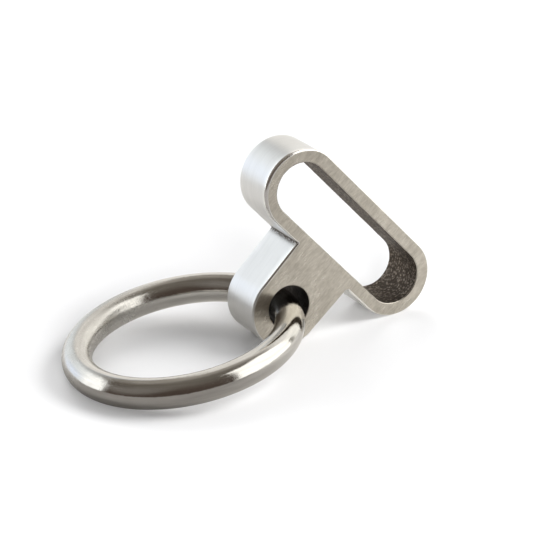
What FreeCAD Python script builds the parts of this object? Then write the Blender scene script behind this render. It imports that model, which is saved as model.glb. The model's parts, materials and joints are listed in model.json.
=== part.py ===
import FreeCAD, Part
import math
import os
import Sketcher

# Slotted strap loop with a round ring through its eye, stainless steel, millimetres.
# The strap loop is one thick plate: a long slotted loop for flat webbing, and a lug with a
# round end that carries the eye. The ring is closed round bar, threaded through the eye.
# The assembly lies as it is put down: the loop leans on the lug's end and its own lower end,
# and the far side of the ring rests on the table. X runs along the table, Y is the axis of
# the eye, Z is up, and the origin is under the middle of the whole, on the table.

SIZES = {
    "loop_length": 38.8,        # outside, end to end
    "loop_width": 13.6,         # outside, across the slot
    "loop_wall": 2.2,           # between the slot and the outside
    "plate_thickness": 9.0,     # of the loop and the lug alike
    "eye_to_loop": 15.4,        # from the eye's centre to the middle of the slot
    "lug_root_width": 13.6,     # where the lug runs into the loop
    "lug_end_radius": 6.5,
    "lug_end_offset": 0.45,     # the end's centre lies this far beyond the eye's
    "eye_radius": 3.7,
    "corner_radius": 0.4,       # inside corners between the lug and the loop
    "edge_radius": 0.25,        # rounding of the plate's outer edges
    "slot_edge_radius": 0.2,    # rounding of the slot's edges
    "eye_edge_radius": 0.15,    # rounding of the eye's edges
    "ring_radius": 17.5,        # to the middle of the bar
    "bar_radius": 2.5,
    "ring_drop": 0.42,          # the bar hangs this far below the eye's centre
}

doc = FreeCAD.newDocument("StrapLoopWithRing")
sheet = doc.addObject("Spreadsheet::Sheet", "Sizes")
for row, (alias, value) in enumerate(SIZES.items(), start=1):
    sheet.set(f"A{row}", alias)
    sheet.set(f"B{row}", str(value))
    sheet.setAlias(f"B{row}", alias)
doc.recompute()


def size(alias):
    return float(sheet.get(alias))


# Derived lengths, each a function of the sheet
end_radius = size("loop_width") / 2
slot_radius = end_radius - size("loop_wall")
half_straight = size("loop_length") / 2 - end_radius
half_thickness = size("plate_thickness") / 2
underside = size("eye_to_loop") - end_radius        # height of the loop's underside above the eye


def add_body(name, label):
    body = doc.addObject("PartDesign::Body", name)
    body.Label = label
    return body


def add_sketch(body, name):
    """A sketch on the body's own XZ plane: its x is the body's X and its y is the body's Z."""
    sketch = body.newObject("Sketcher::SketchObject", name)
    planes = [feature for feature in body.Origin.OriginFeatures if feature.Role == "XZ_Plane"]
    sketch.AttachmentSupport = (planes[0], "")
    sketch.MapMode = "FlatFace"
    return sketch


def point(x, y):
    return FreeCAD.Vector(x, y, 0)


def drive(sketch, name, expression, *constraint):
    """Adds a dimension and binds it to the sheet."""
    index = sketch.addConstraint(Sketcher.Constraint(*constraint))
    sketch.renameConstraint(index, name)
    sketch.setExpression(f"Constraints.{name}", expression)


def draw_stadium(sketch, radius, radius_rule):
    """Two half circles joined by two straight sides, centred eye_to_loop above the eye."""
    middle = size("eye_to_loop")
    axis = FreeCAD.Vector(0, 0, 1)
    right_circle = Part.Circle(point(half_straight, middle), axis, radius)
    left_circle = Part.Circle(point(-half_straight, middle), axis, radius)
    right_end = sketch.addGeometry(Part.ArcOfCircle(right_circle, -math.pi / 2, math.pi / 2))
    top = sketch.addGeometry(
        Part.LineSegment(point(half_straight, middle + radius), point(-half_straight, middle + radius)))
    left_end = sketch.addGeometry(Part.ArcOfCircle(left_circle, math.pi / 2, 3 * math.pi / 2))
    bottom = sketch.addGeometry(
        Part.LineSegment(point(-half_straight, middle - radius), point(half_straight, middle - radius)))
    start, end, centre = 1, 2, 3
    for first, second in ((right_end, top), (top, left_end), (left_end, bottom), (bottom, right_end)):
        sketch.addConstraint(Sketcher.Constraint("Tangent", first, end, second, start))
    sketch.addConstraint(Sketcher.Constraint("Horizontal", bottom))
    drive(sketch, "end_radius", radius_rule, "Radius", right_end, radius)
    drive(sketch, "right_centre", "(Sizes.loop_length - Sizes.loop_width) / 2",
          "DistanceX", -1, start, right_end, centre, half_straight)
    drive(sketch, "left_centre", "(Sizes.loop_length - Sizes.loop_width) / 2",
          "DistanceX", left_end, centre, -1, start, half_straight)
    drive(sketch, "middle_height", "Sizes.eye_to_loop",
          "DistanceY", -1, start, right_end, centre, middle)


def draw_lug(sketch):
    """A round end below the eye, and two sides that open slightly towards the loop."""
    start, end, centre = 1, 2, 3
    end_centre = point(0, -size("lug_end_offset"))
    radius = size("lug_end_radius")
    half_root = size("lug_root_width") / 2
    root_height = underside + size("loop_wall") / 2     # the root is buried in the loop's wall
    circle = Part.Circle(end_centre, FreeCAD.Vector(0, 0, 1), radius)
    round_end = sketch.addGeometry(Part.ArcOfCircle(circle, math.pi, 2 * math.pi))
    right_side = sketch.addGeometry(
        Part.LineSegment(end_centre + point(radius, 0), point(half_root, root_height)))
    root = sketch.addGeometry(
        Part.LineSegment(point(half_root, root_height), point(-half_root, root_height)))
    left_side = sketch.addGeometry(
        Part.LineSegment(point(-half_root, root_height), end_centre - point(radius, 0)))
    sketch.addConstraint(Sketcher.Constraint("Tangent", round_end, end, right_side, start))
    sketch.addConstraint(Sketcher.Constraint("Tangent", left_side, end, round_end, start))
    sketch.addConstraint(Sketcher.Constraint("Coincident", right_side, end, root, start))
    sketch.addConstraint(Sketcher.Constraint("Coincident", root, end, left_side, start))
    sketch.addConstraint(Sketcher.Constraint("Symmetric", root, start, root, end, -2))
    sketch.addConstraint(Sketcher.Constraint("PointOnObject", round_end, centre, -2))
    drive(sketch, "round_radius", "Sizes.lug_end_radius", "Radius", round_end, radius)
    drive(sketch, "round_drop", "Sizes.lug_end_offset",
          "DistanceY", round_end, centre, -1, start, size("lug_end_offset"))
    drive(sketch, "root_width", "Sizes.lug_root_width",
          "DistanceX", root, end, root, start, size("lug_root_width"))
    drive(sketch, "root_height", "Sizes.eye_to_loop - Sizes.loop_width / 2 + Sizes.loop_wall / 2",
          "DistanceY", -1, start, root, start, root_height)


def pad_plate(body, name, sketch):
    """A pad of the plate's thickness, half on each side of the XZ plane."""
    pad = body.newObject("PartDesign::Pad", name)
    pad.Profile = sketch
    pad.Midplane = True
    pad.setExpression("Length", "Sizes.plate_thickness")
    doc.recompute()
    return pad


def cut_through(body, name, sketch):
    """A pocket through the whole plate, checked to have taken material away."""
    before = body.Shape.Volume
    pocket = body.newObject("PartDesign::Pocket", name)
    pocket.Profile = sketch
    pocket.Midplane = True
    pocket.setExpression("Length", "Sizes.plate_thickness * 2")
    doc.recompute()
    if body.Shape.Volume >= before:
        raise RuntimeError(f"{name} cut nothing")
    return pocket


def round_edges(body, name, base, edge_names, alias):
    fillet = body.newObject("PartDesign::Fillet", name)
    fillet.Base = (base, edge_names)
    fillet.setExpression("Radius", f"Sizes.{alias}")
    doc.recompute()
    return fillet


def inside_corners(shape):
    """The edges along Y where the lug's sides meet the loop's underside."""
    names = []
    for number, edge in enumerate(shape.Edges, start=1):
        ends = [vertex.Point for vertex in edge.Vertexes]
        middle = edge.CenterOfMass
        along_y = len(ends) == 2 and math.isclose(abs(ends[0].y - ends[1].y), 2 * half_thickness)
        if along_y and math.isclose(middle.z, underside, abs_tol=1e-4) and abs(middle.x) < end_radius:
            names.append(f"Edge{number}")
    return names


def face_edges(shape, wanted):
    """The edges of the plate's two flat faces round the eye, round the slot, or all the others."""
    names = []
    for number, edge in enumerate(shape.Edges, start=1):
        box = edge.BoundBox
        if not (math.isclose(abs(box.YMin), half_thickness) and math.isclose(box.YMin, box.YMax)):
            continue
        from_eye = max(abs(box.XMin), abs(box.XMax), abs(box.ZMin), abs(box.ZMax))
        from_middle = max(abs(box.ZMin - size("eye_to_loop")), abs(box.ZMax - size("eye_to_loop")))
        around = "outside"
        if from_eye < size("eye_radius") + 1e-4:
            around = "eye"
        elif from_middle < slot_radius + 1e-4:
            around = "slot"
        if around == wanted:
            names.append(f"Edge{number}")
    return names


def make_strap_loop():
    body = add_body("StrapLoop", "strap_loop")

    outline = add_sketch(body, "LoopOutline")
    draw_stadium(outline, end_radius, "Sizes.loop_width / 2")
    pad_plate(body, "LoopPad", outline)

    lug = add_sketch(body, "LugOutline")
    draw_lug(lug)
    plate = pad_plate(body, "LugPad", lug)

    corners = round_edges(body, "Corners", plate, inside_corners(plate.Shape), "corner_radius")

    slot = add_sketch(body, "SlotOutline")
    draw_stadium(slot, slot_radius, "Sizes.loop_width / 2 - Sizes.loop_wall")
    cut_through(body, "Slot", slot)

    eye = add_sketch(body, "EyeOutline")
    hole = eye.addGeometry(Part.Circle(point(0, 0), FreeCAD.Vector(0, 0, 1), size("eye_radius")))
    eye.addConstraint(Sketcher.Constraint("Coincident", hole, 3, -1, 1))
    drive(eye, "eye_radius", "Sizes.eye_radius", "Radius", hole, size("eye_radius"))
    bored = cut_through(body, "Eye", eye)

    outer = round_edges(body, "OuterEdges", bored, face_edges(bored.Shape, "outside"), "edge_radius")
    inner = round_edges(body, "SlotEdges", outer, face_edges(outer.Shape, "slot"), "slot_edge_radius")
    round_edges(body, "EyeEdges", inner, face_edges(inner.Shape, "eye"), "eye_edge_radius")
    return body, corners


def make_ring():
    """A circle of the bar's radius turned about the ring's own axis, which is the body's Z."""
    body = add_body("Ring", "ring")
    section = add_sketch(body, "BarSection")
    circle = Part.Circle(point(size("ring_radius"), 0), FreeCAD.Vector(0, 0, 1), size("bar_radius"))
    bar = section.addGeometry(circle)
    section.addConstraint(Sketcher.Constraint("PointOnObject", bar, 3, -1))
    drive(section, "ring_radius", "Sizes.ring_radius", "DistanceX", -1, 1, bar, 3, size("ring_radius"))
    drive(section, "bar_radius", "Sizes.bar_radius", "Radius", bar, size("bar_radius"))
    turned = body.newObject("PartDesign::Revolution", "RingTurn")
    turned.Profile = section
    turned.ReferenceAxis = (section, ["V_Axis"])
    turned.Angle = 360
    doc.recompute()
    return body


def resting_places():
    """Placements of the two pieces as they lie on the table.

    The loop leans until its lower end and the lug's round end both touch the table, so their
    centres are one radius of their own above it. The bar hangs ring_drop below the eye's centre,
    and the ring slopes down from there until its far side touches the table.
    """
    centre_gap = size("eye_to_loop") + size("lug_end_offset")
    reach = math.hypot(centre_gap, half_straight)
    lean = math.acos((end_radius - size("lug_end_radius")) / reach) - math.atan2(half_straight, centre_gap)
    eye_height = size("lug_end_radius") + size("lug_end_offset") * math.cos(lean)
    pivot_height = eye_height - size("ring_drop")
    slope = math.asin((pivot_height - size("bar_radius")) / (2 * size("ring_radius")))

    # distances from the eye to the right side of the loop and to the left side of the ring
    right = size("eye_to_loop") * math.sin(lean) + half_straight * math.cos(lean) + end_radius
    left = 2 * size("ring_radius") * math.cos(slope) + size("bar_radius")
    eye_x = (left - right) / 2

    y_axis = FreeCAD.Vector(0, 1, 0)
    loop_turn = FreeCAD.Rotation(y_axis, math.degrees(lean))
    ring_turn = FreeCAD.Rotation(y_axis, -math.degrees(slope))
    pivot = FreeCAD.Vector(eye_x, 0, pivot_height)
    ring_centre = pivot - ring_turn.multVec(FreeCAD.Vector(size("ring_radius"), 0, 0))
    print(f"lean {math.degrees(lean):.4f} deg, slope {math.degrees(slope):.4f} deg")
    print(f"eye ({eye_x:.5f}, 0, {eye_height:.5f}), pivot ({pivot.x:.5f}, 0, {pivot.z:.5f})")
    loop_place = FreeCAD.Placement(FreeCAD.Vector(eye_x, 0, eye_height), loop_turn)
    return loop_place, FreeCAD.Placement(ring_centre, ring_turn)


strap_loop, inside_fillets = make_strap_loop()
ring = make_ring()
strap_loop.Placement, ring.Placement = resting_places()
doc.recompute()

failed = [item.Name for item in doc.Objects if {"Invalid", "Error"} & set(item.State)]
if failed:
    raise RuntimeError(f"failed objects: {failed}")
if len(inside_fillets.Base[1]) != 2:
    raise RuntimeError("the lug should meet the loop in two inside corners")

os.makedirs("parts", exist_ok=True)
for body in (strap_loop, ring):
    shape = body.Shape
    if shape.isNull() or not shape.isValid() or len(shape.Solids) != 1:
        raise RuntimeError(f"{body.Label} is not one valid solid")
    shape.exportStep(f"parts/{body.Label}.step")
    print(f"{body.Label}: volume {shape.Volume:.1f} mm3, box {shape.BoundBox}")
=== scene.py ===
import json
import math
import bpy
import numpy as np
from mathutils import Matrix, Vector
from mathutils.geometry import delaunay_2d_cdt


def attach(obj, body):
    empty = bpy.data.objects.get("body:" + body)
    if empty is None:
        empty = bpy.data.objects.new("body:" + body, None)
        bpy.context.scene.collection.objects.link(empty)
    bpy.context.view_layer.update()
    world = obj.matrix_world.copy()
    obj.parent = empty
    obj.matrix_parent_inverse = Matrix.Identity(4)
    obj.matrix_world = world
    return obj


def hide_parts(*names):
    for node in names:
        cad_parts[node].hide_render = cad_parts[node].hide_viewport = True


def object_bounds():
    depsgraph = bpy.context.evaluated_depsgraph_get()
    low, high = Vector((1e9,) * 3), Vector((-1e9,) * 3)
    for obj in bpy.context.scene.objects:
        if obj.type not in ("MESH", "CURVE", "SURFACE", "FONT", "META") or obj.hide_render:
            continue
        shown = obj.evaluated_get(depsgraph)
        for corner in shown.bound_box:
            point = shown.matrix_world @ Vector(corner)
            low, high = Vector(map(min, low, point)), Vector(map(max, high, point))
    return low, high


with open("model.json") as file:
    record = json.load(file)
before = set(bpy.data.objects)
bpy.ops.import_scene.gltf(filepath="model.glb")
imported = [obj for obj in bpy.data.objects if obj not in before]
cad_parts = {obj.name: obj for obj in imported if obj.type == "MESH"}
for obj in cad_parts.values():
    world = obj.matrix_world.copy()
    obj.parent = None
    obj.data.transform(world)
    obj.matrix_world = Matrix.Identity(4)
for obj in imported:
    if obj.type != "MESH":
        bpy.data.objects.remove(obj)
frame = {"nodes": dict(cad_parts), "record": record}
cadBox = [list(corner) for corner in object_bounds()]
print("frame loaded:", sorted(frame["nodes"]))

mounts = {mount["name"]: mount for mount in frame["record"]["mounts"]}
mm = 0.001


def softNoise(points, cell, seed):
    # Random values on a cubic lattice of the given cell, blended between the eight corners
    # with the curve 3t^2 - 2t^3. The result runs from -1 to 1.
    side = 32
    lattice = np.random.default_rng(seed).uniform(-1, 1, (side, side, side))
    place = points / cell
    corner = np.floor(place).astype(int)
    part = place - corner
    part = part * part * (3 - 2 * part)
    total = np.zeros(len(points))
    for step in np.ndindex(2, 2, 2):
        weight = np.prod(np.where(np.array(step) == 1, part, 1 - part), axis=1)
        i, j, k = ((corner + step) % side).T
        total += weight * lattice[i, j, k]
    return total


def gridFaces(columns, rows, first):
    # Quads of a grid that closes on itself along its columns: column i joins column i + 1. Its
    # points are numbered from first, down each column in turn.
    i, j = np.meshgrid(np.arange(columns), np.arange(rows - 1), indexing="ij")
    here, ahead = i * rows + j, (i + 1) % columns * rows + j
    quads = np.stack([here, here + 1, ahead + 1, ahead], -1)
    return quads.reshape(-1, 4) + first


def gridMap(along, across):
    # The map coordinates of the same quads: distance along the columns and across the rows.
    # along has one more entry than the grid has columns, so the last quad doesn't run backwards.
    columns, rows = across.shape
    i, j = np.meshgrid(np.arange(columns), np.arange(rows - 1), indexing="ij")
    corners = [(i, j), (i, j + 1), (i + 1, j + 1), (i + 1, j)]
    spots = [np.stack([along[a], across[a % columns, b]], -1) for a, b in corners]
    return np.stack(spots, 2).reshape(-1, 2)


def makePiece(name, points, faces, cornerMap):
    mesh = bpy.data.meshes.new(name)
    mesh.from_pydata(points.tolist(), [], faces)
    mesh.polygons.foreach_set("use_smooth", np.ones(len(mesh.polygons), bool))
    layer = mesh.uv_layers.new(name="surfaceMap")
    layer.uv.foreach_set("vector", cornerMap.astype(np.float32).ravel())
    mesh.update()
    piece = bpy.data.objects.new(name, mesh)
    bpy.context.scene.collection.objects.link(piece)
    return piece


def keepValues(mesh, name, values):
    attribute = mesh.attributes.new(name, "FLOAT", "POINT")
    attribute.data.foreach_set("value", values.astype(np.float32))


strapLoop = {
    "loopLength": 38.8 * mm,
    "loopWidth": 13.6 * mm,
    "wall": 2.2 * mm,
    "thickness": 9.0 * mm,
    "eyeToLoop": 15.4 * mm,         # from the eye's centre to the middle of the slot
    "lugRootWidth": 13.6 * mm,
    "lugEndRadius": 6.5 * mm,
    "lugEndOffset": 0.45 * mm,      # the round end's centre lies beyond the eye's
    "eyeRadius": 3.7 * mm,
    "cornerRadius": 0.4 * mm,
    "outerRounding": 0.12 * mm,
    "filedLoop": 0.44 * mm,         # more was filed off the edges that face filedTowards
    "filedLug": 0.22 * mm,
    "filedTowards": (-0.94, -0.34),     # along the loop and towards the slot
    "slotRounding": 0.20 * mm,
    "eyeRounding": 0.15 * mm,
    "spacing": 0.16 * mm,           # between points along an outline
    "sideRows": 36,
    "roundingRows": 7,
    "faceSpacing": 0.55 * mm,
    "polishAndHighlightReach": 0.75 * mm,       # the sides are polished, and painted lighter as a highlight, this near to a face
    "polishAndHighlightRise": 4.0 * mm,         # that polish and painted highlight fade out over this much of the lug
    "backPolishAndHighlight": 0.35,             # and the back edge has this share of it
    "sideWaves": 0.010 * mm,        # hand finishing leaves the outer sides this uneven
    "waveSizes": (4.5 * mm, 1.9 * mm),
    "castDepth": 0.055 * mm,        # grain left inside the slot and the eye
    "grainSizes": (0.62 * mm, 0.34 * mm),
    "seamDepth": 0.10 * mm,         # ragged metal in the corners between lug and loop
    "seamReach": 0.55 * mm,
    "seamGrain": 0.38 * mm,
}


def traceLine(start, end, spacing):
    # Evenly spaced points, the end left out, and the way out of the metal, on the line's right.
    start, end = np.array(start), np.array(end)
    length = np.linalg.norm(end - start)
    count = max(2, math.ceil(length / spacing))
    share = np.arange(count)[:, None] / count
    ahead = (end - start) / length
    return start + share * (end - start), np.tile([ahead[1], -ahead[0]], (count, 1))


def traceArc(centre, radius, fromAngle, toAngle, spacing):
    # The same along an arc. Anticlockwise arcs bulge away from the metal, clockwise ones hollow
    # it out.
    count = max(8, math.ceil(abs(toAngle - fromAngle) * radius / spacing))
    angle = fromAngle + (toAngle - fromAngle) * np.arange(count) / count
    ray = np.stack([np.cos(angle), np.sin(angle)], -1)
    return np.array(centre) + radius * ray, ray * math.copysign(1, toAngle - fromAngle)


def joinTraces(*traces):
    return tuple(np.concatenate(parts) for parts in zip(*traces))


def slotOutline(size, spacing):
    # Two half circles and two straight sides, clockwise round the slot.
    radius = size["loopWidth"] / 2 - size["wall"]
    straight = (size["loopLength"] - size["loopWidth"]) / 2
    middle = size["eyeToLoop"]
    quarter = math.pi / 2
    return joinTraces(
        traceArc((straight, middle), radius, quarter, -quarter, spacing),
        traceLine((straight, middle - radius), (-straight, middle - radius), spacing),
        traceArc((-straight, middle), radius, 3 * quarter, quarter, spacing),
        traceLine((-straight, middle + radius), (straight, middle + radius), spacing))


def plateOutline(size, spacing):
    # The loop's outside, broken on its underside by the lug: a round end and two straight sides
    # tangent to it, which meet the underside in two small hollow corners.
    radius = size["loopWidth"] / 2
    straight = (size["loopLength"] - size["loopWidth"]) / 2
    middle = size["eyeToLoop"]
    underside = middle - radius
    endRadius, corner = size["lugEndRadius"], size["cornerRadius"]
    endCentre = np.array([0.0, -size["lugEndOffset"]])
    root = np.array([size["lugRootWidth"] / 2, underside + size["wall"] / 2])
    away = root - endCentre
    sideAngle = math.atan2(away[1], away[0]) - math.acos(endRadius / np.linalg.norm(away))
    ray = np.array([math.cos(sideAngle), math.sin(sideAngle)])
    cornerHeight = underside - corner
    cornerX = (endRadius + corner - ray[1] * (cornerHeight - endCentre[1])) / ray[0]
    mirror = np.array([-1, 1])
    rightCorner = np.array([cornerX, cornerHeight])
    leftCorner = rightCorner * mirror
    rightTouch, rightSide = endCentre + endRadius * ray, rightCorner - corner * ray
    quarter = math.pi / 2
    half = math.pi
    return joinTraces(
        traceArc((straight, middle), radius, -quarter, quarter, spacing),
        traceLine((straight, middle + radius), (-straight, middle + radius), spacing),
        traceArc((-straight, middle), radius, quarter, 3 * quarter, spacing),
        traceLine((-straight, underside), (leftCorner[0], underside), spacing),
        traceArc(leftCorner, corner, quarter, -sideAngle, spacing / 2),
        traceLine(rightSide * mirror, rightTouch * mirror, spacing),
        traceArc(endCentre, endRadius, half - sideAngle, 2 * half + sideAngle, spacing),
        traceLine(rightTouch, rightSide, spacing),
        traceArc(rightCorner, corner, half + sideAngle, quarter, spacing / 2),
        traceLine((rightCorner[0], underside), (straight, underside), spacing))


def edgeRounding(size, line, normal):
    # The radius at each point of the outside: a little everywhere, more where it was filed.
    turned = np.clip(normal @ np.array(size["filedTowards"]), 0, 1)
    onLug = line[:, 1] < size["eyeToLoop"] - size["loopWidth"] / 2 - size["cornerRadius"] / 2
    return size["outerRounding"] + turned * np.where(onLug, size["filedLug"], size["filedLoop"])


def wallProfile(size, rounding):
    # From the front face to the back: a quarter round, the straight side, a quarter round.
    # Each row has how far it is set in from the outline and how deep it lies in the plate, for
    # every point of the outline, since the rounding may change along it.
    turn = np.linspace(0, math.pi / 2, size["roundingRows"] + 1)
    half = size["thickness"] / 2
    share = np.linspace(-1, 1, size["sideRows"] + 1)[1:-1]
    radius = rounding[:, None]
    frontInset = radius * (1 - np.sin(turn))
    frontDepth = -half + radius * (1 - np.cos(turn))
    side = share * (half - radius)
    inset = np.concatenate([frontInset, np.zeros(side.shape), frontInset[:, ::-1]], 1)
    depth = np.concatenate([frontDepth, side, -frontDepth[:, ::-1]], 1)
    return inset, depth, 1 - inset / radius             # the last is 0 on a face, 1 on the side


def insideOf(points, outline):
    # Even and odd crossings of a ray to the right.
    x, y = points[:, :1], points[:, 1:]
    x1, y1 = outline[:, 0], outline[:, 1]
    x2, y2 = np.roll(x1, -1), np.roll(y1, -1)
    rise = np.where(y2 == y1, 1.0, y2 - y1)
    crossing = ((y1 > y) != (y2 > y)) & (x < (x2 - x1) * (y - y1) / rise + x1)
    return crossing.sum(axis=1) % 2 == 1


def fillFace(size, loops):
    # Triangles between the plate's outline and its two openings, on a grid of inner points that
    # keeps the triangles even. The outlines' own points come first, in the order given.
    plate, slot, eye = loops
    rim = np.concatenate(loops)
    low, high = plate.min(0), plate.max(0)
    spacing = size["faceSpacing"]
    grid = np.stack(np.meshgrid(*(np.arange(a, b, spacing) for a, b in zip(low, high))), -1).reshape(-1, 2)
    gap = np.sqrt(((grid[:, None] - rim[None]) ** 2).sum(-1)).min(1)
    grid = grid[(gap > spacing / 2) & insideOf(grid, plate) & ~insideOf(grid, slot) & ~insideOf(grid, eye)]
    points = np.concatenate([rim, grid])
    edges, first = [], 0
    for loop in loops:
        index = np.arange(len(loop))
        edges += (np.stack([index, (index + 1) % len(loop)], -1) + first).tolist()
        first += len(loop)
    flat = [Vector(p) for p in (points / mm).tolist()]
    _, _, triangles, origins, _, _ = delaunay_2d_cdt(flat, edges, [], 0, 1e-7)
    back = np.array([found[0] for found in origins])
    triangles = back[np.array(triangles)]
    middle = points[triangles].mean(1)
    kept = insideOf(middle, plate) & ~insideOf(middle, slot) & ~insideOf(middle, eye)
    triangles = triangles[kept]
    a, b, c = (points[triangles[:, k]] for k in range(3))
    turned = np.cross(b - a, c - a) < 0
    triangles[turned] = triangles[turned][:, ::-1]
    return points, triangles


def makeWalls(size, outlines):
    # A closed band of quads for each outline, with rows from the front face to the back. shell
    # holds every point's place in the plate, its depth through it, how far it has turned from
    # the face to the side, the way out of the metal, and the number of its outline.
    shell = {"flat": [], "depth": [], "outward": [], "push": [], "owner": []}
    quads, corners, rims = [], [], []
    first = 0
    for number, ((line, normal), rounding) in enumerate(outlines):
        inset, rowDepth, rowOutward = wallProfile(size, rounding)
        columns, rows = inset.shape
        shell["flat"].append((line[:, None] - normal[:, None] * inset[:, :, None]).reshape(-1, 2))
        shell["depth"].append(rowDepth.ravel())
        shell["outward"].append(rowOutward.ravel())
        shell["push"].append(np.repeat(normal, rows, axis=0))
        shell["owner"].append(np.full(columns * rows, number))
        quads.append(gridFaces(columns, rows, first))
        steps = np.linalg.norm(np.roll(line, -1, 0) - line, axis=1)
        corners.append(gridMap(np.concatenate([[0], np.cumsum(steps)]), rowDepth))
        rims.append(first + np.arange(columns) * rows)
        first += columns * rows
    return {key: np.concatenate(parts) for key, parts in shell.items()}, quads, corners, rims, rows


def closeFaces(size, shell, rims, rows):
    # The two flat faces share the walls' first and last rows and add the inner points.
    facePoints, triangles = fillFace(size, [shell["flat"][rim] for rim in rims])
    frontRim = np.concatenate(rims)
    inner = facePoints[len(frontRim):]
    count = len(inner)
    faces, corners = [], []
    for side, rim in ((-1, frontRim), (1, frontRim + rows - 1)):
        index = np.concatenate([rim, len(shell["flat"]) + np.arange(count)])
        added = {"flat": inner, "depth": np.full(count, side * size["thickness"] / 2),
                 "outward": np.zeros(count), "push": np.zeros((count, 2)), "owner": np.full(count, -1)}
        shell = {key: np.concatenate([shell[key], added[key]]) for key in shell}
        turned = triangles if side < 0 else triangles[:, ::-1]
        faces.append(index[turned])
        corners.append(facePoints[turned].reshape(-1, 2))
    return shell, faces, corners


def mixNoise(points, sizes, share, seed):
    # Two sizes of noise, with the given share of the first.
    return share * softNoise(points, sizes[0], seed) + (1 - share) * softNoise(points, sizes[1], seed + 1)


def roughenShell(size, shell):
    # Uneven sides, cast grain inside the slot and the eye, and ragged corners beside the lug.
    flat, depth, outward, owner = (shell[key] for key in ("flat", "depth", "outward", "owner"))
    solid = np.stack([flat[:, 0], depth, flat[:, 1]], -1)
    outside = (owner == 0) * outward
    underside = size["eyeToLoop"] - size["loopWidth"] / 2
    third = size["cornerRadius"] / 3
    sideGap = np.abs(flat[:, 0]) - size["lugRootWidth"] / 2 - third
    cornerGap = np.hypot(sideGap, flat[:, 1] - underside + third)
    seam = np.exp(-(cornerGap / size["seamReach"]) ** 2) * outside
    waves = mixNoise(solid, size["waveSizes"], 0.6, 3)
    grain = mixNoise(solid, size["grainSizes"], 0.65, 5)
    inwards = size["sideWaves"] * (1 + waves) / 2 * outside
    inwards += size["castDepth"] * (1 + grain) / 2 * (owner > 0) * outward
    inwards -= size["seamDepth"] * softNoise(solid, size["seamGrain"], 7) * seam
    return flat - shell["push"] * inwards[:, None], seam


def keepWearAndPaintedLight(mesh, size, shell, flat, seam):
    # Values from 0 to 1 that the finishes read: ragged corners, whose pits get painted shade, the
    # middle of a rounded edge, rubbed and with a painted highlight, polish near the faces with a
    # painted highlight, and the eye's wall, in painted shade.
    depth, outward = shell["depth"], shell["outward"]
    half = size["thickness"] / 2
    nearFront = np.exp(-((half + depth) / size["polishAndHighlightReach"]) ** 2)
    nearBack = np.exp(-((half - depth) / size["polishAndHighlightReach"]) ** 2)
    upLug = np.clip(flat[:, 1] / size["polishAndHighlightRise"] + 0.5, 0, 1)
    keepValues(mesh, "seam", seam)
    keepValues(mesh, "lip", 4 * outward * (1 - outward))
    keepValues(mesh, "edge", (nearFront + size["backPolishAndHighlight"] * nearBack) * (outward > 0) * upLug)
    # the eye's wall, which is given painted shade
    keepValues(mesh, "bore", (shell["owner"] == 2) * (outward > 0.7))


def levelFaces(mesh, shell, axis):
    # The flat faces shade as flat right up to their rounded edges.
    normals = np.empty(len(mesh.vertices) * 3, np.float32)
    mesh.vertex_normals.foreach_get("vector", normals)
    normals = normals.reshape(-1, 3)
    onFace = shell["outward"] == 0
    normals[onFace] = np.sign(shell["depth"][onFace])[:, None] * axis
    mesh.normals_split_custom_set_from_vertices(normals.tolist())


def makeStrapLoop(size):
    # The flat shape has x along the loop and y from the eye towards the slot. A point is the
    # eye's centre plus x, y and the depth, each along its own direction of the plate.
    bearing = mounts["webbing_bearing_face"]
    upLoop = -np.array(bearing["axis"])                 # from the eye towards the slot
    throughPlate = np.array([0.0, 1.0, 0.0])            # the eye's axis, front to back
    alongLoop = np.cross(throughPlate, upLoop)
    slotRadius = size["loopWidth"] / 2 - size["wall"]
    eye = np.array(bearing["pos_m"]) - (size["eyeToLoop"] + slotRadius) * upLoop

    outside = plateOutline(size, size["spacing"])
    slot = slotOutline(size, size["spacing"])
    bore = traceArc((0.0, 0.0), size["eyeRadius"], 2 * math.pi, 0, size["spacing"])
    outlines = [
        (outside, edgeRounding(size, *outside)),
        (slot, np.full(len(slot[0]), size["slotRounding"])),
        (bore, np.full(len(bore[0]), size["eyeRounding"]))]
    shell, walls, wallCorners, rims, rows = makeWalls(size, outlines)
    shell, faces, faceCorners = closeFaces(size, shell, rims, rows)
    flat, seam = roughenShell(size, shell)

    points = eye + flat[:, :1] * alongLoop + flat[:, 1:] * upLoop + shell["depth"][:, None] * throughPlate
    allFaces = [face for part in walls + faces for face in part.tolist()]
    piece = makePiece("strapLoop", points, allFaces, np.concatenate(wallCorners + faceCorners))
    mesh = piece.data
    keepWearAndPaintedLight(mesh, size, shell, flat, seam)
    finishOf = (1, 2, 2, 0, 0)                          # satin side, cast inside twice, brushed faces
    slots = np.concatenate([np.full(len(part), kind) for part, kind in zip(walls + faces, finishOf)])
    mesh.polygons.foreach_set("material_index", slots.astype(np.int32))
    levelFaces(mesh, shell, throughPlate)
    print(f"strap loop: {len(points)} points, {len(mesh.polygons)} faces")
    return piece


ring = {
    "radius": 17.5 * mm,            # to the middle of the bar
    "barRadius": 2.5 * mm,
    "around": 680,                  # points round the ring
    "across": 120,                  # and round its bar
    "waves": 0.012 * mm,            # unevenness of the hand polish all round
    "waveSizes": (4.2 * mm, 2.1 * mm),
    "weldAngle": math.radians(104),     # where the bar's ends were joined, from the eye
    "weldReach": math.radians(20),
    "weldWaves": 0.022 * mm,        # the dressed weld is more uneven
    "weldWaveSizes": (2.4 * mm, 1.1 * mm),
    "dullAngle": math.radians(138),     # the side that was buffed least
    "dullReach": math.radians(58),
}


def angleBetween(turn, angle):
    # Never more than half a turn, whichever way round is shorter.
    return np.abs((turn - angle + math.pi) % (2 * math.pi) - math.pi)


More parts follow.
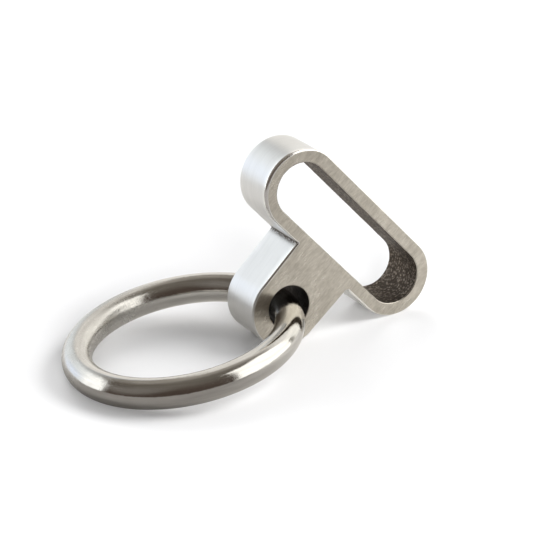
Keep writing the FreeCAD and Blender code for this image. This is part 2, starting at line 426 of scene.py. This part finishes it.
def makeRing(size):
    # A circle of the bar's radius carried round the ring's centre. The angle round the ring
    # starts at the eye, and the angle round the bar starts underneath.
    opening = mounts["ring_opening"]
    axis = np.array(opening["axis"])
    axis = axis / np.linalg.norm(axis)
    sideways = np.array([0.0, 1.0, 0.0])
    towardsEye = np.cross(sideways, axis)
    turn = np.arange(size["around"]) * 2 * math.pi / size["around"]
    roll = np.arange(size["across"]) * 2 * math.pi / size["across"] - math.pi / 2
    turn, roll = (grid.ravel() for grid in np.meshgrid(turn, roll, indexing="ij"))
    spoke = np.cos(turn)[:, None] * towardsEye + np.sin(turn)[:, None] * sideways
    normal = np.cos(roll)[:, None] * spoke + np.sin(roll)[:, None] * axis
    centre = np.array(opening["pos_m"])
    local = size["radius"] * spoke + size["barRadius"] * normal
    weld = np.exp(-(angleBetween(turn, size["weldAngle"]) / size["weldReach"]) ** 2)
    dull = np.exp(-(angleBetween(turn, size["dullAngle"]) / size["dullReach"]) ** 4)
    broad = mixNoise(local, size["waveSizes"], 0.65, 11)
    dressed = mixNoise(local, size["weldWaveSizes"], 0.6, 13)
    inwards = size["waves"] * (1 + broad) / 2 + size["weldWaves"] * weld * (1 + dressed) / 2
    points = centre + local - normal * inwards[:, None]

    rows = size["across"]
    i, j = np.meshgrid(np.arange(size["around"]), np.arange(rows), indexing="ij")
    nextTurn, nextRoll = (i + 1) % size["around"], (j + 1) % rows
    here, ahead = i * rows, nextTurn * rows
    quads = np.stack([here + j, ahead + j, ahead + nextRoll, here + nextRoll], -1)
    arc = 2 * math.pi * size["radius"] / size["around"]
    girth = 2 * math.pi * size["barRadius"] / rows
    shifts = ((0, 0), (1, 0), (1, 1), (0, 1))
    corners = np.stack([np.stack([(i + a) * arc, (j + b) * girth], -1) for a, b in shifts], 2)
    piece = makePiece("roundRing", points, quads.reshape(-1, 4).tolist(), corners.reshape(-1, 2))
    keepValues(piece.data, "weld", weld)
    keepValues(piece.data, "dull", dull)
    print(f"ring: {len(points)} points, {len(piece.data.polygons)} faces")
    return piece


def startGroup(name, inputs, outputs):
    tree = bpy.data.node_groups.new(name, "ShaderNodeTree")
    for label, kind in inputs.items():
        tree.interface.new_socket(name=label, in_out="INPUT", socket_type=kind)
    for label, kind in outputs.items():
        tree.interface.new_socket(name=label, in_out="OUTPUT", socket_type=kind)
    return tree, tree.nodes.new("NodeGroupInput"), tree.nodes.new("NodeGroupOutput")


def addNode(tree, kind, inputs=None, **settings):
    made = tree.nodes.new(kind)
    for key, value in settings.items():
        setattr(made, key, value)
    for key, value in (inputs or {}).items():
        if isinstance(value, bpy.types.NodeSocket):
            tree.links.new(value, made.inputs[key])
        else:
            made.inputs[key].default_value = value
    return made


def addMath(tree, operation, first, second=0.0, clamp=False):
    values = {0: first, 1: second}
    return addNode(tree, "ShaderNodeMath", values, operation=operation, use_clamp=clamp).outputs[0]


def addNoise(tree, vector, scale, detail, roughness, distortion=0.0):
    values = {"Vector": vector, "Scale": scale, "Detail": detail, "Roughness": roughness,
              "Distortion": distortion}
    return addNode(tree, "ShaderNodeTexNoise", values).outputs["Fac"]


def addRange(tree, value, fromLow, fromHigh, toLow, toHigh):
    values = {"Value": value, "From Min": fromLow, "From Max": fromHigh, "To Min": toLow, "To Max": toHigh}
    return addNode(tree, "ShaderNodeMapRange", values).outputs["Result"]


def addMix(tree, factor, first, second):
    made = addNode(tree, "ShaderNodeMix", {0: factor, 6: first, 7: second}, data_type="RGBA")
    return made.outputs[2]


def addShares(tree, *terms):
    # The sum of values, each times its share.
    total = None
    for value, share in terms:
        part = addMath(tree, "MULTIPLY", value, share)
        total = part if total is None else addMath(tree, "ADD", total, part)
    return total


beltGrain = {
    "coarseLines": 0.28,        # for each fine one
    "coarseShare": 0.4,         # of the height
    "clouds": 260.0,            # to a metre
    "cloudShare": 0.2,          # of the tone
}


def makeGrainGroup(look):
    # Straight scratches from an abrasive belt: noise stretched along one direction, in two
    # widths, and broad cloudiness in the tone. Lines is how many there are to a metre, and
    # Stretch is how much longer than wide they are.
    tree, given, result = startGroup(
        "beltGrain",
        {"Vector": "NodeSocketVector", "Angle": "NodeSocketFloat", "Lines": "NodeSocketFloat",
         "Stretch": "NodeSocketFloat"},
        {"Height": "NodeSocketFloat", "Tone": "NodeSocketFloat"})
    turned = addNode(tree, "ShaderNodeVectorRotate", {"Vector": given.outputs["Vector"],
                     "Angle": given.outputs["Angle"]}, rotation_type="Z_AXIS").outputs[0]
    apart = addNode(tree, "ShaderNodeSeparateXYZ", {0: turned})
    shortened = addMath(tree, "DIVIDE", apart.outputs["X"], given.outputs["Stretch"])
    place = addNode(tree, "ShaderNodeCombineXYZ", {"X": shortened, "Y": apart.outputs["Y"]}).outputs[0]
    fine = addNoise(tree, place, given.outputs["Lines"], 4.0, 0.65)
    fewer = addMath(tree, "MULTIPLY", given.outputs["Lines"], look["coarseLines"])
    coarse = addNoise(tree, place, fewer, 2.0, 0.5)
    broad = addNoise(tree, given.outputs["Vector"], look["clouds"], 2.0, 0.5)
    both = addShares(tree, (fine, 1 - look["coarseShare"]), (coarse, look["coarseShare"]))
    tone = addShares(tree, (both, 1 - look["cloudShare"]), (broad, look["cloudShare"]))
    tree.links.new(both, result.inputs["Height"])
    tree.links.new(tone, result.inputs["Tone"])
    return tree


handling = {
    "hazeRange": (0.42, 0.68),  # the noise values at which a smear starts and is full
    "distortion": 0.6,
}


def makeHandlingGroup(look):
    # Faint smears left by handling: cloudy noise, drawn out a little. Patches is how many there
    # are to a metre.
    tree, given, result = startGroup(
        "handling",
        {"Vector": "NodeSocketVector", "Patches": "NodeSocketFloat"},
        {"Haze": "NodeSocketFloat"})
    cloud = addNoise(tree, given.outputs["Vector"], given.outputs["Patches"], 4.0, 0.6, look["distortion"])
    tree.links.new(addRange(tree, cloud, *look["hazeRange"], 0.0, 1.0), result.inputs["Haze"])
    return tree


castSkin = {
    "fineGrains": 1.7,          # for each rounded one
    "grainDepth": 0.7,          # of the rounded ones, where that of the fine ones is 1
    "pitRange": (0.1, 0.5),     # the heights at which a pit is full and ends
}


def makeCastGroup(look):
    # The skin of a casting: rounded grains with finer ones on them and pits between, which the
    # finishes darken as painted shade. Grains is how many there are to a metre.
    tree, given, result = startGroup(
        "castSkin",
        {"Vector": "NodeSocketVector", "Grains": "NodeSocketFloat"},
        {"Height": "NodeSocketFloat", "Pits": "NodeSocketFloat"})
    cells = addNode(tree, "ShaderNodeTexVoronoi", {"Vector": given.outputs["Vector"],
                    "Scale": given.outputs["Grains"]}).outputs["Distance"]
    more = addMath(tree, "MULTIPLY", given.outputs["Grains"], look["fineGrains"])
    fine = addNoise(tree, given.outputs["Vector"], more, 3.0, 0.7)
    height = addShares(tree, (fine, 1.0), (cells, -look["grainDepth"]))
    pits = addRange(tree, height, *look["pitRange"], 1.0, 0.0)
    tree.links.new(height, result.inputs["Height"])
    tree.links.new(pits, result.inputs["Pits"])
    return tree


def startFinish(name):
    material = bpy.data.materials.new(name)
    material.use_nodes = True
    tree = material.node_tree
    shader = tree.nodes["Principled BSDF"]
    shader.inputs["Metallic"].default_value = 1.0
    return material, tree, shader


def useGroup(tree, group, **inputs):
    return addNode(tree, "ShaderNodeGroup", inputs, node_tree=group)


def readMap(tree):
    # Distances along and across the surface, in metres.
    return addNode(tree, "ShaderNodeUVMap", uv_map="surfaceMap").outputs["UV"]


def readPlace(tree):
    return addNode(tree, "ShaderNodeTexCoord").outputs["Object"]


def readValue(tree, name):
    return addNode(tree, "ShaderNodeAttribute", attribute_name=name).outputs["Fac"]


def connectFinish(tree, shader, colour, rough, height, depth):
    # depth is how far the surface rises where height goes from 0 to 1.
    bump = addNode(tree, "ShaderNodeBump", {"Height": height, "Strength": 1.0, "Distance": depth})
    tree.links.new(colour, shader.inputs["Base Color"])
    tree.links.new(rough, shader.inputs["Roughness"])
    tree.links.new(bump.outputs["Normal"], shader.inputs["Normal"])


brushedFace = {
    "colour": (0.675, 0.64, 0.572, 1.0),
    "darkLine": (0.415, 0.385, 0.333, 1.0),
    "toneRange": (0.36, 0.64),          # the grain's tones that become darkLine and colour
    "lineAngle": math.radians(92),      # the lines run across the loop
    "lines": 4600.0,                    # to a metre
    "stretch": 4.0,
    "smears": 180.0,                    # to a metre
    "roughTones": (0.3, 0.7),           # the tones of the two values in the next row
    "roughness": (0.34, 0.26),          # in the dark lines and between them
    "smearGloss": 0.03,
    "anisotropy": 0.6,
    "grainDepth": 0.007 * mm,
}


def makeBrushedFace(groups, look):
    material, tree, shader = startFinish("brushedFace")
    surface, place = readMap(tree), readPlace(tree)
    grain = useGroup(tree, groups["grain"], Vector=surface, Angle=look["lineAngle"],
                     Lines=look["lines"], Stretch=look["stretch"])
    haze = useGroup(tree, groups["handling"], Vector=place, Patches=look["smears"]).outputs["Haze"]
    tone = addRange(tree, grain.outputs["Tone"], *look["toneRange"], 0.0, 1.0)
    colour = addMix(tree, tone, look["darkLine"], look["colour"])
    rough = addRange(tree, grain.outputs["Tone"], *look["roughTones"], *look["roughness"])
    rough = addShares(tree, (rough, 1.0), (haze, -look["smearGloss"]))
    shader.inputs["Anisotropic"].default_value = look["anisotropy"]
    tangent = addNode(tree, "ShaderNodeTangent", direction_type="UV_MAP", uv_map="surfaceMap")
    tree.links.new(tangent.outputs["Tangent"], shader.inputs["Tangent"])
    connectFinish(tree, shader, colour, rough, grain.outputs["Height"], look["grainDepth"])
    return material


satinSide = {
    "colour": (0.78, 0.78, 0.77, 1.0),
    "dull": (0.68, 0.68, 0.67, 1.0),
    # polished metal near the faces, made lighter still as a painted highlight
    "polishAndHighlightNearEdge": (0.90, 0.89, 0.87, 1.0),
    # painted shade in the pits of the corners between lug and loop
    "seamPaintedShade": (0.075, 0.058, 0.043, 1.0),
    "toneRange": (0.28, 0.72),
    "lineAngle": 0.08,                  # nearly along the outline
    "lines": 2600.0,
    "stretch": 16.0,
    "smears": 240.0,                    # to a metre, as are the next two
    "mottle": 1500.0,
    "seamGrains": 3200.0,
    "roughness": (0.40, 0.46),          # clean and smeared
    "edgeGloss": 0.22,
    "seamRoughness": 0.1,
    "lineShare": 0.12,                  # of the depth
    "mottleShare": 0.20,
    "depth": 0.03 * mm,
}


def makeSatinSide(groups, look):
    material, tree, shader = startFinish("satinSide")
    surface, place = readMap(tree), readPlace(tree)
    seam, edge = readValue(tree, "seam"), readValue(tree, "edge")
    grain = useGroup(tree, groups["grain"], Vector=surface, Angle=look["lineAngle"],
                     Lines=look["lines"], Stretch=look["stretch"])
    haze = useGroup(tree, groups["handling"], Vector=place, Patches=look["smears"]).outputs["Haze"]
    cast = useGroup(tree, groups["cast"], Vector=place, Grains=look["seamGrains"])
    tone = addRange(tree, grain.outputs["Tone"], *look["toneRange"], 0.0, 1.0)
    colour = addMix(tree, tone, look["dull"], look["colour"])
    # Near the faces the side is polished, and lighter also as a painted highlight.
    colour = addMix(tree, edge, colour, look["polishAndHighlightNearEdge"])
    # Painted shade: the pits in the corners between lug and loop are darkened.
    seamShade = addMath(tree, "MULTIPLY", seam, cast.outputs["Pits"], clamp=True)
    colour = addMix(tree, seamShade, colour, look["seamPaintedShade"])
    rough = addRange(tree, haze, 0.0, 1.0, *look["roughness"])
    rough = addShares(tree, (rough, 1.0), (edge, -look["edgeGloss"]), (seam, look["seamRoughness"]))
    mottle = addNoise(tree, place, look["mottle"], 3.0, 0.6)
    height = addShares(tree, (grain.outputs["Height"], look["lineShare"]), (mottle, look["mottleShare"]),
                       (cast.outputs["Height"], seam))
    connectFinish(tree, shader, colour, rough, height, look["depth"])
    return material


castInside = {
    "colour": (0.36, 0.30, 0.245, 1.0),
    # painted shade in the pits between the grains
    "pitShade": (0.075, 0.058, 0.043, 1.0),
    "glint": (0.50, 0.43, 0.35, 1.0),
    "glintRange": (0.42, 0.6),          # the heights at which grains start and end to glint
    "glintShare": 0.8,
    "lip": (0.60, 0.57, 0.51, 1.0),     # the rounded edges, rubbed by webbing and by the ring, and lighter also as a painted highlight
    # painted shade: the eye's wall, nearly black
    "bore": (0.035, 0.027, 0.022, 1.0),
    "grains": 2100.0,
    "smears": 420.0,
    "roughness": (0.62, 0.5),           # clean and smeared
    "lipGloss": 0.36,
    "depth": 0.09 * mm,
}


def makeCastInside(groups, look):
    material, tree, shader = startFinish("castInside")
    place = readPlace(tree)
    lip = readValue(tree, "lip")
    cast = useGroup(tree, groups["cast"], Vector=place, Grains=look["grains"])
    haze = useGroup(tree, groups["handling"], Vector=place, Patches=look["smears"]).outputs["Haze"]
    # Painted shade darkens the pits.
    colour = addMix(tree, cast.outputs["Pits"], look["colour"], look["pitShade"])
    glint = addRange(tree, cast.outputs["Height"], *look["glintRange"], 0.0, look["glintShare"])
    colour = addMix(tree, glint, colour, look["glint"])
    # Painted shade: the eye's wall is made nearly black.
    colour = addMix(tree, readValue(tree, "bore"), colour, look["bore"])
    # The rounded edges are rubbed metal, made lighter also as a painted highlight.
    colour = addMix(tree, lip, colour, look["lip"])
    rough = addRange(tree, haze, 0.0, 1.0, *look["roughness"])
    rough = addShares(tree, (rough, 1.0), (lip, -look["lipGloss"]))
    height = addMath(tree, "MULTIPLY", cast.outputs["Height"], addMath(tree, "SUBTRACT", 1.0, lip))
    connectFinish(tree, shader, colour, rough, height, look["depth"])
    return material


polishedBar = {
    "colour": (0.665, 0.65, 0.62, 1.0),
    "dull": (0.51, 0.495, 0.465, 1.0),
    "toneRange": (0.35, 0.65),
    "lineAngle": 0.06,                  # nearly along the bar
    "lines": 2200.0,
    "stretch": 14.0,
    "smears": 300.0,                    # to a metre, as are the next two
    "speckle": 2600.0,
    "ripple": 900.0,
    "roughness": (0.08, 0.17),          # clean and smeared
    "dullRoughness": 0.17,
    "weldRoughness": 0.03,
    "speckleRange": (0.35, 0.65),       # the noise values of the two in the next row
    "speckleRoughness": (-0.05, 0.05),
    "rippleShare": 0.5,                 # of the depth
    "lineShare": 0.12,
    "speckleShare": 0.40,
    "depth": 0.02 * mm,
}


def makePolishedBar(groups, look):
    material, tree, shader = startFinish("polishedBar")
    surface, place = readMap(tree), readPlace(tree)
    grain = useGroup(tree, groups["grain"], Vector=surface, Angle=look["lineAngle"],
                     Lines=look["lines"], Stretch=look["stretch"])
    haze = useGroup(tree, groups["handling"], Vector=place, Patches=look["smears"]).outputs["Haze"]
    tone = addRange(tree, grain.outputs["Tone"], *look["toneRange"], 0.0, 1.0)
    colour = addMix(tree, tone, look["dull"], look["colour"])
    speckle = addNoise(tree, place, look["speckle"], 4.0, 0.7)
    ripple = addNoise(tree, place, look["ripple"], 2.0, 0.5)
    rough = addRange(tree, haze, 0.0, 1.0, *look["roughness"])
    uneven = addRange(tree, speckle, *look["speckleRange"], *look["speckleRoughness"])
    rough = addShares(tree, (rough, 1.0), (readValue(tree, "dull"), look["dullRoughness"]),
                      (readValue(tree, "weld"), look["weldRoughness"]), (uneven, 1.0))
    height = addShares(tree, (ripple, look["rippleShare"]), (grain.outputs["Height"], look["lineShare"]),
                       (speckle, look["speckleShare"]))
    connectFinish(tree, shader, colour, rough, height, look["depth"])
    return material


groups = {
    "grain": makeGrainGroup(beltGrain),
    "handling": makeHandlingGroup(handling),
    "cast": makeCastGroup(castSkin),
}

loopPiece = makeStrapLoop(strapLoop)
loopPiece.data.materials.append(makeBrushedFace(groups, brushedFace))
loopPiece.data.materials.append(makeSatinSide(groups, satinSide))
loopPiece.data.materials.append(makeCastInside(groups, castInside))
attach(loopPiece, "strap_loop")
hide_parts("strap_loop")

ringPiece = makeRing(ring)
ringPiece.data.materials.append(makePolishedBar(groups, polishedBar))
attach(ringPiece, "ring")
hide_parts("ring")
print("pieces and finishes made")


studio = {
    "floorSize": 8.0,
    "floorColour": (0.95, 0.95, 0.955, 1.0),
    "floorDark": (0.35, 0.335, 0.32, 1.0),      # how the metal sees the floor, on its dark side
    "floorLight": (0.82, 0.80, 0.77, 1.0),      # and on its light side
    "floorTowardsLight": (0.8, 0.6, 0.0),
    "floorFade": (-0.030, 0.002),               # metres that way, where dark ends and light starts
    "roomLow": (0.098, 0.075, 0.062, 1.0),      # the dark room
    "roomHigh": (0.20, 0.180, 0.155, 1.0),      # its ceiling
    "ceilingFade": (20.0, 75.0),                # degrees up, from room to ceiling
    "panelEdge": 1.0,                           # softness of the panels' upright edges, degrees
    "backgroundColour": (1.0, 1.0, 1.0, 1.0),   # what the camera sees past the floor
}

suns = {
    # soft lamps that light only the floor: azimuth from +Y towards +X, elevation, how wide they
    # look from the object, and how bright they make the floor where nothing is in the way
    "sideSun": (120, 37, 38, 0.43),
    "backSun": (16, 37, 34, 0.18),
    "frontSun": (-164, 12, 24, 0.21),
    "overheadSun": (-86, 82, 140, 0.31),
}

glows = {
    # round lights mirrored in the metal: azimuth, elevation, angular radius, softness, colour
    "ceilingGlow": (25, 58, 22, 12, (0.44, 0.41, 0.37, 1.0)),
    "wallGlow": (-92, 38, 24, 14, (0.24, 0.22, 0.20, 1.0)),
    "windowRim": (-28, 3, 43, 1.5, (1.80, 1.82, 1.81, 1.0)),
    "windowMiddle": (-8, 2, 36, 7, (1.05, 1.11, 1.15, 1.0)),
    "windowBlue": (-27, 10, 13, 7, (1.15, 1.27, 1.50, 1.0)),
}

panels = {
    # upright lights mirrored in the metal: from and to azimuth, top elevation, softness, colour
    "backdrop": (16, 90, 58, 8, (1.10, 1.07, 1.02, 1.0)),
    "brightBackdrop": (54, 90, 38, 6, (1.45, 1.43, 1.35, 1.0)),
    "softbox": (90, 161.5, 67, 2, (1.95, 1.93, 1.86, 1.0)),
    "softboxStand": (88, 95, 22, 2, (0.42, 0.40, 0.36, 1.0)),
    "backdropGap": (13, 17, 14, 2, (0.22, 0.19, 0.16, 1.0)),
}


def facing(azimuth, elevation):
    # The direction at that azimuth from +Y towards +X, and that elevation above the floor.
    a, e = math.radians(azimuth), math.radians(elevation)
    return Vector((math.sin(a) * math.cos(e), math.cos(a) * math.cos(e), math.sin(e)))


def addSun(name, azimuth, elevation, width, brightness):
    # A lamp's power spreads over the floor by the sine of its elevation, and a white floor
    # sends back one part in pi of it.
    light = bpy.data.lights.new(name, "SUN")
    light.angle = math.radians(width)
    light.energy = brightness * math.pi / (studio["floorColour"][0] * math.sin(math.radians(elevation)))
    lamp = bpy.data.objects.new(name, light)
    lamp.rotation_euler = facing(azimuth, elevation).to_track_quat("Z", "Y").to_euler()
    lamp.visible_camera = False
    lamp.visible_glossy = False
    bpy.context.scene.collection.objects.link(lamp)


def addFloor():
    half = studio["floorSize"] / 2
    mesh = bpy.data.meshes.new("floor")
    low = cadBox[0][2]
    mesh.from_pydata([(-half, -half, low), (half, -half, low), (half, half, low), (-half, half, low)],
                     [], [(0, 1, 2, 3)])
    floor = bpy.data.objects.new("floor", mesh)
    bpy.context.scene.collection.objects.link(floor)
    material = bpy.data.materials.new("floorPaper")
    material.use_nodes = True
    tree = material.node_tree
    tree.nodes.clear()
    place = addNode(tree, "ShaderNodeTexCoord").outputs["Object"]
    across = addNode(tree, "ShaderNodeVectorMath", {0: place, 1: studio["floorTowardsLight"]},
                     operation="DOT_PRODUCT").outputs["Value"]
    light = addRange(tree, across, *studio["floorFade"], 0.0, 1.0)
    mirrored = addMix(tree, light, studio["floorDark"], studio["floorLight"])
    seen = addNode(tree, "ShaderNodeLightPath").outputs["Is Camera Ray"]
    colour = addMix(tree, seen, mirrored, studio["floorColour"])
    paper = addNode(tree, "ShaderNodeBsdfDiffuse", {"Color": colour})
    out = addNode(tree, "ShaderNodeOutputMaterial")
    tree.links.new(paper.outputs[0], out.inputs["Surface"])
    mesh.materials.append(material)


def smoothStep(tree, value, low, high):
    values = {"Value": value, "From Min": low, "From Max": high, "To Min": 0.0, "To Max": 1.0}
    return addNode(tree, "ShaderNodeMapRange", values, interpolation_type="SMOOTHSTEP").outputs["Result"]


def addRoom():
    # Only the metal sees the room: a dark room with a lit backdrop, a window and a softbox.
    # A round light is where the angle to its centre is small enough, and an upright one lies
    # between two azimuths and under a height.
    world = bpy.data.worlds.new("room")
    world.use_nodes = True
    tree = world.node_tree
    tree.nodes.clear()
    along = addNode(tree, "ShaderNodeTexCoord").outputs["Generated"]
    apart = addNode(tree, "ShaderNodeSeparateXYZ", {0: along})
    inDegrees = 180 / math.pi
    up = addMath(tree, "MULTIPLY", addMath(tree, "ARCSINE", apart.outputs["Z"]), inDegrees)
    around = addMath(tree, "ARCTAN2", apart.outputs["X"], apart.outputs["Y"])
    around = addMath(tree, "MULTIPLY", around, inDegrees)
    high = smoothStep(tree, up, *studio["ceilingFade"])
    colour = addMix(tree, high, studio["roomLow"], studio["roomHigh"])
    edge = studio["panelEdge"]

    def addGlow(colour, azimuth, elevation, radius, softness, shade):
        centre = addNode(tree, "ShaderNodeVectorMath", {0: along, 1: facing(azimuth, elevation)},
                         operation="DOT_PRODUCT").outputs["Value"]
        angle = addMath(tree, "MULTIPLY", addMath(tree, "ARCCOSINE", centre), inDegrees)
        inside = smoothStep(tree, angle, radius + softness, radius - softness)
        return addMix(tree, inside, colour, shade)

    def addPanel(colour, start, end, top, softness, shade):
        left = smoothStep(tree, around, start - edge, start + edge)
        right = smoothStep(tree, around, end + edge, end - edge)
        below = smoothStep(tree, up, top + softness, top - softness)
        inside = addMath(tree, "MULTIPLY", addMath(tree, "MULTIPLY", left, right), below)
        return addMix(tree, inside, colour, shade)

    for settings in glows.values():
        colour = addGlow(colour, *settings)
    for settings in panels.values():
        colour = addPanel(colour, *settings)
    seen = addNode(tree, "ShaderNodeLightPath").outputs["Is Camera Ray"]
    colour = addMix(tree, seen, colour, studio["backgroundColour"])
    glow = addNode(tree, "ShaderNodeBackground", {"Color": colour})
    out = addNode(tree, "ShaderNodeOutputWorld")
    tree.links.new(glow.outputs[0], out.inputs["Surface"])
    world.cycles_visibility.diffuse = False
    bpy.context.scene.world = world


view = {
    "target": (3.97 * mm, 0.0, 12.81 * mm),
    "azimuth": 26.82,       # the camera looks along +Y turned this far towards +X
    "elevation": 23.13,     # and down by this much
    "roll": 4.33,           # its top leans this far to its right
    "distance": 358.6 * mm,
    "lens": 148.2,
    "sensor": 36.0,
    "clip": (0.01, 50.0),
}


def addCamera():
    ahead = facing(view["azimuth"], -view["elevation"])
    level = ahead.cross(Vector((0, 0, 1))).normalized()
    upright = level.cross(ahead)
    roll = math.radians(view["roll"])
    up = upright * math.cos(roll) + level * math.sin(roll)
    right = level * math.cos(roll) - upright * math.sin(roll)
    data = bpy.data.cameras.new("camera")
    data.lens, data.sensor_width = view["lens"], view["sensor"]
    data.clip_start, data.clip_end = view["clip"]
    camera = bpy.data.objects.new("camera", data)
    turn = Matrix((right, up, -ahead)).transposed().to_4x4()
    camera.matrix_world = Matrix.Translation(Vector(view["target"]) - ahead * view["distance"]) @ turn
    bpy.context.scene.collection.objects.link(camera)
    bpy.context.scene.camera = camera


addFloor()
addRoom()
for sunName, settings in suns.items():
    addSun(sunName, *settings)
addCamera()
bpy.context.scene.view_settings.view_transform = "Standard"
print("floor, light and camera placed")
